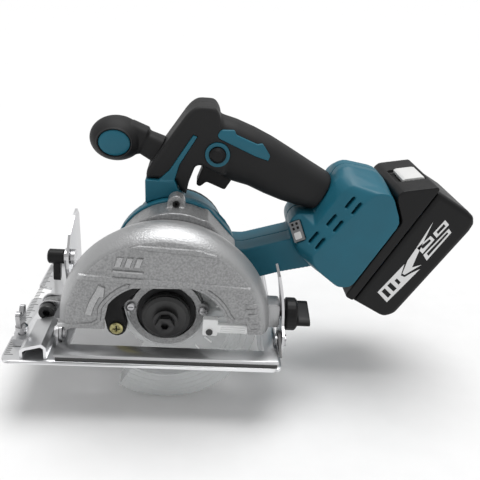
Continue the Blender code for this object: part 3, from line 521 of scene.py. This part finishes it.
def upper_guard():
    """The cast guard, with its ribs, the raised edge round the window and the turning arrow."""
    shape = half_drum(GUARD_R, GUARD_RIM, GUARD_NEAR, GUARD_BACK, GUARD_TAPER, 24)
    guard = new_object("upper_guard_skin", shape)
    low, high = GUARD_NEAR + GUARD_WALL, GUARD_BACK - GUARD_WALL
    inner_rim = (GUARD_RIM[0], GUARD_RIM[1] - GUARD_WALL)
    left_edge, right_edge = arc((4, 22), 38, 145, 112, 10), arc((20, 22), 38, 75, 32, 12)
    window = [
        (-30, 10), (-30, 30), *left_edge, *right_edge, (54, 36), (57, 32.5), (70, 33), (71, 24),
        (71, 10)
    ]
    cut(
        guard,
        half_drum(GUARD_R - GUARD_WALL, inner_rim, low, high, GUARD_TAPER - 0.4, -20),
        prism(window, -70, high - 1),
    )
    left_lip = [
        (-62, 26), (-50, 26.3), (-38, 28), (-33.4, 31.5), *arc((4, 22), 41.2, 153, 116, 10),
        (-13.2, 61)
    ]
    right_lip = [(35, 59.5), *arc((20, 22), 41.2, 68, 24, 12), (61, 35), (71.5, 35.6)]
    arrow = [
        *arc(ARBOR, 56.5, 168, 148, 6), (-33.4, 59.5), (-28.6, 57.4), (-29.4, 49.6),
        *arc(ARBOR, 51.2, 150, 168, 6)
    ]
    join(
        guard,
        raised([(-46.5, 66.9), (70.4, 61.8), (71.6, 57), (-49, 62.1)], 1.1, 0.8),
        raised([(-13, 87.6), (-6, 90), (34, 88.6), (46, 85), (47, 82.6), (-3, 86)], 1.0, 0.8),
        raised(strip(left_lip, 3.4), 0.9, 0.7),
        raised(strip(right_lip, 3), 0.8, 0.6),
        *[
            raised(strip([(start, z), (end, z + 0.7)], 1.2), 0.7, 0.4)
            for z, start, end in (
                (48, 68, 75.5), (44, 68, 76.5), (40, 70, 77.5), (32, 73, 78.5), (28, 73, 78.5)
            )
        ],
        slab(rounded(rectangle(83, 96.2, 17.8, 37), 2.5), -46, -30, 1.2),
        turned([(2.5, 21), (2.5, 24.6)], (-56, -61.5), "Z", 24),
        prism(capsule(STOP_SCREW, (STOP_SCREW[0], 32), 9), high + 0.2, GUARD_BACK - 0.2),
    )
    cut(
        guard,
        prism(circle(CLAMP, 2.6), 85.4, 100, "X"),
        prism(circle(STOP_SCREW, 2), -40, -30),
        prism(circle(ARBOR, 32.4, 64), -40, -25),
    )
    # The guard's finish paints a highlight along its near rim.
    finish_piece(guard, "guard cast with painted rim highlight", "upper_guard", sharp=24)
    light = [
        raised(arrow, 1.2, 0.6),
        raised([(-24.4, 69), (-3.4, 68.2), (-2.6, 70.4), (-23.6, 71.2)], 1.2, 0.5)
    ]
    light += [
        raised([(x, 73), (x + 4.6, 73), (x + 7, 80.5), (x + 2.4, 80.5)], 1.2, 0.5)
        for x in (-23, -16.4, -9.8)
    ]
    for i, shape in enumerate(light):
        detail(f"guard_mark_{i}", shape, "lighter cast", "upper_guard", sharp=24)


# ---------------------------------------------------------------- handle

COLUMN = [
    (-8.6, 113.4, 0), (-8.4, 119, 3), (3.5, 138, 3), (20.5, 164, 6), (27, 169.5, 6),
    (40.5, 169.5, 4), (44.5, 164, 3), (47, 152, 3), (52, 130, 8), (51, 117), (32, 125.5, 2),
    (28, 124.5, 2), (23.5, 111, 1), (22, 101.4, 0), (16.4, 106.4, 0), (13.6, 113.4, 0),
]
GRIP_SECTIONS = [  # top and bottom of the handle along its length, and half its width
    ((45, 161), (49, 113.8), 19.4),
    ((58, 157.5), (57, 110.6), 19.7),
    ((72, 152.2), (69, 107.8), 19.8),
    ((86, 145.8), (82, 102.2), 19.8),
    ((101, 137.6), (96, 97.2), 19.6),
    ((118, 128), (109, 94), 19),
    ((134.5, 119), (121.5, 91.5), 18.2),
]
FINGER = [(0, 112), (9, 121), (25.5, 148.5), (28.5, 147.5), (16, 125.5), (12.5, 112)]
LOCK_OFF = (44, 135)
ARROW = [
    (43.1, 149.6), (45.3, 153.3), (55.6, 153.6), (57, 150.2), (73.2, 144), (76.9, 145),
    (83.3, 136.2), (82.2, 132.4), (72.8, 135), (44.4, 147),
]


def handle_body():
    """The column and the handle behind it, as one soft form."""
    column = prism(rounded(COLUMN, 5, 4), MID_Y - HANDLE_HALF, MID_Y + HANDLE_HALF)
    for side in (MID_Y - HANDLE_HALF, MID_Y + HANDLE_HALF):
        soften(column, side, 8, 4)
    rings = []
    for top, bottom, half in GRIP_SECTIONS:
        middle, reach = (Vector(top) + Vector(bottom)) / 2, (Vector(top) - Vector(bottom)) / 2
        ring = squarish(1, half, 2.7, 48)
        rings.append(
            [Vector((middle.x + reach.x * a, MID_Y + b, middle.y + reach.y * a)) for a, b in ring]
        )
    item = new_object("handle", merged(column, loft(rings)))
    soft(item, 1.0, 8)
    return item


def halved(item, name, side):
    """One half of an object, cut at the handle's middle plane and capped."""
    half = bmesh.new()
    half.from_mesh(item.data)
    bmesh.ops.bisect_plane(
        half, geom=half.verts[:] + half.edges[:] + half.faces[:],
        plane_co=(0, (MID_Y + side * 0.2) * MM, 0), plane_no=(0, -side, 0), clear_outer=True,
    )
    bmesh.ops.holes_fill(half, edges=[edge for edge in half.edges if edge.is_boundary])
    bmesh.ops.scale(half, verts=half.verts, vec=(1 / MM, 1 / MM, 1 / MM))
    return new_object(name, half)


def handle():
    """Both rubber covered halves with their grooves, and the teal arrows in them."""
    whole = handle_body()
    slot = [(27, 128), (33, 132), (60, 134), (65, 128), (65, 104), (27, 100)]
    for name, side in (("near", -1), ("far", 1)):
        face = MID_Y + side * HANDLE_HALF
        shell = halved(whole, f"grip_{name}_skin", side)

        def band(inner, outer):
            return sorted((face - side * inner, face + side * outer))

        cut(
            shell,
            prism(grown(FINGER, 0.4), *band(2.6, 3)),
            prism(slot, MID_Y - 9.5, MID_Y + 9.5),
            prism(circle(LOCK_OFF, 8.2), MID_Y - 30, MID_Y + 30),
            prism(circle(LOCK_OFF, 9.6), *band(1.6, 5)),
            prism(rounded(grown(ARROW, 0.3), 1), *band(1.3, 3)),
        )
        finish_piece(shell, "rubber", f"grip_{name}", sharp=50)
        arrow = new_object(f"grip_arrow_{name}", prism(rounded(ARROW, 1.2), *band(3, 0)))
        soften_shape(arrow, face)
        finish_piece(arrow, "teal", f"grip_{name}", replaces=False)
    bpy.data.objects.remove(whole)


def soften_shape(item, face):
    """Rounds the rim of a thin plate's outer cap."""
    shape = bmesh.new()
    shape.from_mesh(item.data)
    soften(shape, face * MM, 0.5 * MM, 2)
    shape.to_mesh(item.data)
    shape.free()


def front_knob():
    """The ball with a raised lip round each teal oval, and its square stem."""
    def ball_ring(wide, y):
        turns = circle((0, 0), 1, 64)
        return [
            Vector((KNOB[0] + wide * a, MID_Y + y, KNOB[1] + wide * 0.83 * b)) for a, b in turns
        ]

    tilts = [math.radians(50 * (k / 8 - 1)) for k in range(17)]
    ball = [ball_ring(20.4 * math.cos(t), 20 * math.sin(t)) for t in tilts]
    lip = [(13.6, 16.2), (13, 16.6), (12.4, 16.4), (12, 15)]
    rings = [ball_ring(wide, -y) for wide, y in reversed(lip)] + ball + [
        ball_ring(wide, y) for wide, y in lip
    ]
    stem = []
    for centre, high, wide in (
        ((-25, 141.5), 11.5, 10), ((-13, 137), 11.3, 10), ((-11, 136), 9.4, 9.2),
        ((0, 131), 10.5, 11)
    ):
        along = Vector((11, -5)).normalized()
        across = Vector((-along.y, along.x))
        ring = []
        for a, b in squarish(high, wide, 3.2, 40):
            point = Vector(centre) + across * a
            ring.append(Vector((point.x, MID_Y + b, point.y)))
        stem.append(ring)
    knob = new_object("front_knob_skin", merged(loft(rings), loft(stem)))
    soft(knob, 0.6, 2)
    finish_piece(knob, "rubber", "front_knob", sharp=60)
    domes = [(9, -16.9), (10.8, -16.4), (11.6, -15.6), (11.7, 15.6), (10.8, 16.4), (9, 16.9)]
    core = new_object("knob_core_skin", loft([ball_ring(wide, y) for wide, y in domes]))
    cut(knob, loft([ball_ring(12, y) for y in (-30, 30)]))
    finish_piece(core, "teal", "knob_core")


# ---------------------------------------------------------------- lower guard


def swept(profile, start, end, steps):
    """A profile of (radius, y) turned about the arbor from one angle to another, with flat ends."""
    rings = []
    for k in range(steps + 1):
        turn = math.radians(start + (end - start) * k / steps)
        c, s = math.cos(turn), math.sin(turn)
        rings.append([Vector((ARBOR[0] + r * c, y, ARBOR[1] + r * s)) for r, y in profile])
    return loft(rings)


def lower_guard():
    """The clear guard: a channel with fine ridges on both sides, its hub ring, ribs and lever."""
    back, front = LOWER_BACK, LOWER_NEAR
    outer = LOWER_R
    ridge = 0.45
    near = []
    for r in (47.5, 51.5, 55.5, 59.5):
        near += [(r, front), (r + 0.5, front - ridge), (r + 1.0, front - ridge), (r + 1.5, front)]
    far = []
    for r in (58.5, 54.5, 50.5, 46.5, 42.5, 38.5):
        far += [
            (r + 1.5, back), (r + 1.0, back + ridge * 0.4), (r + 0.5, back + ridge * 0.4), (r, back)
        ]
    profile = [
        (46, front + LOWER_WALL), (46, front), *near, (outer - 3, front), (outer - 1, front + 0.8)
    ]
    profile += [
        (outer, front + 3), (outer, back - 1.5), (outer - 1, back), *far, (31, back),
        (31, back - LOWER_WALL)
    ]
    profile += [
        (outer - 3.2, back - LOWER_WALL), (outer - LOWER_WALL, back - 3),
        (outer - LOWER_WALL, front + 4)
    ]
    profile += [(outer - 3.6, front + LOWER_WALL)]
    guard = new_object("lower_guard_skin", swept(profile, -120, 18, 110))
    ax, az = ARBOR
    hub = turned([(28.4, -36.5), (34, -36.5), (34, -34.9), (28.4, -34.9)], ARBOR, "Y", 72, True)
    tab = prism(
        rounded(rectangle(ax + 27, ax + 48.5, az - 9, az + 6), 1.5), front + 0.1,
        front + LOWER_WALL - 0.1
    )
    join(guard, hub, tab)
    finish_piece(guard, "clear", "lower_guard", sharp=30)

    ribs = []
    for turn in range(-112, 10, 15):
        spoke = block(37, 44, -0.5, 0.5, -0.5, 0.5)
        place = Matrix.Translation((ax, back - LOWER_WALL - 0.55, az)) @ Matrix.Rotation(
            -math.radians(turn), 4, "Y"
        )
        bmesh.ops.transform(spoke, matrix=place, verts=spoke.verts)
        ribs.append(spoke)
    # The ribs glow faintly from their finish, painted light.
    detail("lower_guard_ribs", merged(*ribs), "glowing clear rib", "lower_guard")

    head = slab(
        rounded(rectangle(ax + 27, ax + 38, az - 7.2, az + 6.6), 1.6), front - 5.2, front - 0.4,
        0.8, ends="low"
    )
    lever = new_object("guard_lever_skin", head)
    arm = slab(
        rounded(rectangle(ax + 37, ax + 60, az - 4.5, az + 2.5), 1.8), front - 5, front - 1.2, 0.8
    )
    join(lever, arm)
    screw = (ax + 32, az - 3.6)
    grooves = [
        slab(rectangle(ax + 40, ax + 58, z, z + 0.9), front - 5.6, front - 4.3, 0.2)
        for z in (az - 3.2, az - 1.5, az + 0.2)
    ]
    cut(lever, prism(circle(screw, 1.6), front - 6, front + 3), *grooves)
    # The lever glows faintly from its finish, painted light.
    finish_piece(lever, "glowing clear rib", "guard_lever", sharp=30)


# ---------------------------------------------------------------- trigger and battery


TRIGGER = [
    (34.2, 126.5), (33.4, 120), (29, 107), (32, 105.2), (37, 109.6), (51.5, 103.8), (56, 111.5),
    (60, 122), (57, 125.5), (50, 124.2), (37, 124.4),
]
STRIP = [
    (13.7, 31.6), (44.5, 34.6), (35.2, 38.4), (35.6, 41.8), (41.5, 44.4), (47.5, 48), (10.3, 43.7)
]
BOLT = [
    (84, 31.2), (60, 34), (48.3, 34.8), (37.2, 38.4), (37.2, 40.6), (51, 46.6), (45.4, 41.6),
    (56.6, 38.2),
]
BLOCKS = (
    [(60.5, 34.4), (74, 37), (73.2, 41.6), (59, 41.2)],
    [(76.6, 37.2), (90, 38.2), (88.6, 43.2), (75.2, 42)],
    [(58.4, 42.4), (86, 45.2), (84.6, 49), (56, 47.8)],
)
BARS = (
    [(16, 34), (19.5, 34.4), (17.6, 42.2), (14.1, 41.8)],
    [(22.5, 34.7), (26, 35.1), (24.4, 42.6), (20.9, 42.2)],
    [(29, 37), (31.5, 37.2), (30.4, 42), (27.9, 41.8)],
    [(63, 36), (71.5, 38), (71, 39.8), (62.4, 38.6)],
    [(79, 38.8), (87, 39.4), (86.4, 41.6), (78.2, 40.8)],
    [(60.8, 44), (83, 46), (82.6, 47.4), (60, 46.2)],
)


def in_plane(along, depth):
    """Battery frame distances, along the pack and outwards, as (x, z)."""
    c, s = math.cos(BATTERY_ANGLE), math.sin(BATTERY_ANGLE)
    return (BATTERY_ORIGIN[0] + along * c + depth * s, BATTERY_ORIGIN[1] + along * s - depth * c)


def trigger():
    """The trigger, with its top inside the handle."""
    lever = prism(rounded(TRIGGER, 1.5, 3), MID_Y - 8.6, MID_Y + 8.6)
    item = new_object("trigger_skin", lever)
    soft(item, 0.5, 4)
    finish_piece(item, "black", "trigger", sharp=60)


def battery_label():
    """White shapes on the pack's near side, with dark bars and no words."""
    face = MID_Y - BATTERY_HALF
    shapes = [(STRIP, "strip"), (BOLT, "bolt")]
    shapes += [(outline, f"block_{i}") for i, outline in enumerate(BLOCKS)]
    for outline, name in shapes:
        plate = prism([in_plane(*point) for point in outline], face - 0.15, face + 0.6)
        detail(f"battery_label_{name}", plate, "ink", "battery_case_lower")
    for i, outline in enumerate(BARS):
        plate = prism([in_plane(*point) for point in outline], face - 0.3, face + 0.6)
        detail(f"battery_bar_{i}", plate, "black", "battery_case_lower")


def panel_dots():
    """Four small lamps and a push pad on the indicator panel."""
    facing = Vector(PANEL_FACING).normalized()
    along = Vector(PANEL_ALONG)
    along = (along - facing * along.dot(facing)).normalized()
    turn = Matrix((along, facing.cross(along), facing)).transposed().to_4x4()
    place = Matrix.Translation(PANEL_MIDDLE) @ turn
    for i, (a, b) in enumerate(((-5.8, -1.8), (-5.8, 1.8), (-2.4, -1.8), (-2.4, 1.8))):
        dot = block(a - 1, a + 1, b - 0.9, b + 0.9, 0.1, 0.6)
        bmesh.ops.transform(dot, matrix=place, verts=dot.verts)
        detail(f"panel_lamp_{i}", dot, "black", "indicator_panel")
    pad = prism(rounded(rectangle(0.8, 6.4, -2.8, 2.8), 1), 0.1, 0.6, "Z")
    bmesh.ops.transform(pad, matrix=place, verts=pad.verts)
    detail("panel_pad", pad, "white", "indicator_panel")


def clamp_lever():
    """The front bevel clamp's lever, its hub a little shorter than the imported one."""
    item = moulded("bevel_clamp_lever", "black", 0.4, 4)
    inner = -67 * MM
    for vert in item.data.vertices:
        if vert.co.x < inner:
            vert.co.x = inner + (vert.co.x - inner) * 0.7


def stop_screw_shade_cross():
    """A black cross on the guard's yellow stop screw: painted shade for its cross recess."""
    x, z = STOP_SCREW
    for name, half in (("wide", (2.6, 0.5)), ("tall", (0.5, 2.6))):
        bar = block(x - half[0], x + half[0], -47.7, -46.8, z - half[1], z + half[1])
        detail(f"stop_screw_{name}", bar, "black", "guard_stop_screw")


def base_plate():
    """The plate with a groove along its near rim and fine marks across its front edge."""
    plate = new_object("base_plate_skin", packed("base_plate"))
    cut(plate, prism(capsule((-77, 3.4), (-77, 4.6), 1.1, 6), -63, 94, "X"))
    finish_piece(plate, "zinc", "base_plate", sharp=30)
    # A black strip set in the near rim's groove: painted shade and a painted dark reflection.
    painted_dark_band = block(-62.5, 93.5, -76.4, -75.7, 2.7, 5.3)
    detail("base_groove_painted_shade", painted_dark_band, "black steel", "base_plate")
    marks = []
    for k in range(RULER_MARKS):
        y = -70 + RULER_STEP * k
        length = 6 if k % 4 == 0 else 3.5
        marks.append(block(-99, -99 + length, y - 0.25, y + 0.25, 2.3, 2.6))
    detail("base_ruler", merged(*marks), "black steel", "base_plate")


def packed(node):
    """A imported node's shape, in millimetres."""
    shape = bmesh.new()
    shape.from_mesh(NODES[node].data)
    shape.transform(NODES[node].matrix_world)
    bmesh.ops.scale(shape, verts=shape.verts, vec=(1 / MM, 1 / MM, 1 / MM))
    return shape


# ---------------------------------------------------------------- what each node looks like

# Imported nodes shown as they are, by finish.
KEPT = {
    "zinc": ("fence_bracket",),
    "satin": ("bevel_post", "bevel_bracket", "depth_guide"),
    "steel": (
        "front_bevel_pin", "rear_bevel_pin", "bevel_clamp_bolt", "fence_thumb_screw",
        "retainer_screw_1", "retainer_screw_2", "spindle_bearing", "lower_guard_spring", "spindle",
        "spindle_gear", "rotor_shaft", "rotor_core", "rotor_bearing", "grip_screw",
    ),
    "black steel": (
        "rear_bevel_ear", "depth_pivot_screw", "inner_flange", "outer_flange", "blade_bolt",
        "guard_lever_screw", "bracket_screw",
    ),
    "yellow": ("guard_stop_screw",),
    "black": ("cooling_fan", "lock_off_button", "spindle_lock"),
    "rubber": ("bearing_seal",),
    "teal": ("lock_off_sleeve",),
    "grey": ("trigger_switch", "terminal_block", "indicator_panel"),
    "copper": ("stator",),
    "board": ("control_board",),
    "cell": ("battery_cells",),
}
# Nodes shown with rounded edges, by finish: name, mesh size in mm, smoothing rounds and scale.
MOULDED = {
    "cast": (("gear_case", 0.8, 3), ("bearing_retainer", 0.5, 3)),
    "teal": (
        ("front_bracket_near", 0.6, 3), ("front_bracket_far", 0.6, 3),
        ("battery_housing_near", 0.8, 4), ("battery_housing_far", 0.8, 4),
        ("motor_housing", 0.9, 2),
    ),
    "rubber": (("guard_stop_arm", 0.5, 3),),
    "black": (
        ("battery_case_lower", 0.9, 4), ("battery_case_upper", 0.8, 4), ("motor_end_cap", 0.7, 2),
        ("depth_wing_knob", 0.5, 4),
    ),
    "white": (("battery_release", 0.4, 3, 0.95),),
}

for kind, names in KEPT.items():
    for name in names:
        NODES[name].data.materials.clear()
        NODES[name].data.materials.append(LOOKS[kind])
for kind, rows in MOULDED.items():
    for name, *numbers in rows:
        moulded(name, kind, *numbers)
upper_guard()
lower_guard()
handle()
front_knob()
trigger()
battery_label()
panel_dots()
base_plate()
clamp_lever()
stop_screw_shade_cross()


# ---------------------------------------------------------------- floor, light and camera


def stage():
    """A plain pale floor under a plain sky, with one broad soft light from above."""
    square = rectangle(-FLOOR_REACH, FLOOR_REACH, -FLOOR_REACH, FLOOR_REACH)
    floor = new_object("floor", prism(square, -60, FLOOR_LEVEL, "Z"))
    pale = look("pale_floor", (0.82, 0.82, 0.82), 0.7, grain=300, bump=0.02, shade=0.01)
    floor.data.materials.append(pale)

    world = bpy.data.worlds.new("studio")
    bpy.context.scene.world = world
    world.use_nodes = True
    sky = world.node_tree.nodes["Background"]
    sky.inputs["Color"].default_value = (1, 1, 1, 1)
    sky.inputs["Strength"].default_value = SKY_STRENGTH

    sun = bpy.data.lights.new("soft_sky_light", "SUN")
    sun.energy = SUN_ENERGY
    sun.angle = math.radians(SUN_ANGLE)
    lamp = bpy.data.objects.new("soft_sky_light", sun)
    bpy.context.scene.collection.objects.link(lamp)
    lamp.rotation_euler = Vector(SUN_DIRECTION).to_track_quat("-Z", "Y").to_euler()


def camera():
    """Above the blade side's front, turned and tipped a little."""
    yaw, pitch, roll = (math.radians(a) for a in (CAMERA_YAW, CAMERA_PITCH, CAMERA_ROLL))
    data = bpy.data.cameras.new("camera")
    data.lens = CAMERA_LENS
    data.sensor_width = CAMERA_SENSOR
    item = bpy.data.objects.new("camera", data)
    bpy.context.scene.collection.objects.link(item)
    turn = Matrix.Rotation(-yaw, 4, "Z") @ Matrix.Rotation(math.pi / 2 - pitch, 4, "X")
    turn = turn @ Matrix.Rotation(roll, 4, "Z")
    item.matrix_world = Matrix.Translation(Vector(CAMERA_PLACE) * MM) @ turn
    bpy.context.scene.camera = item


stage()
camera()
bpy.context.scene.view_settings.view_transform = "Standard"
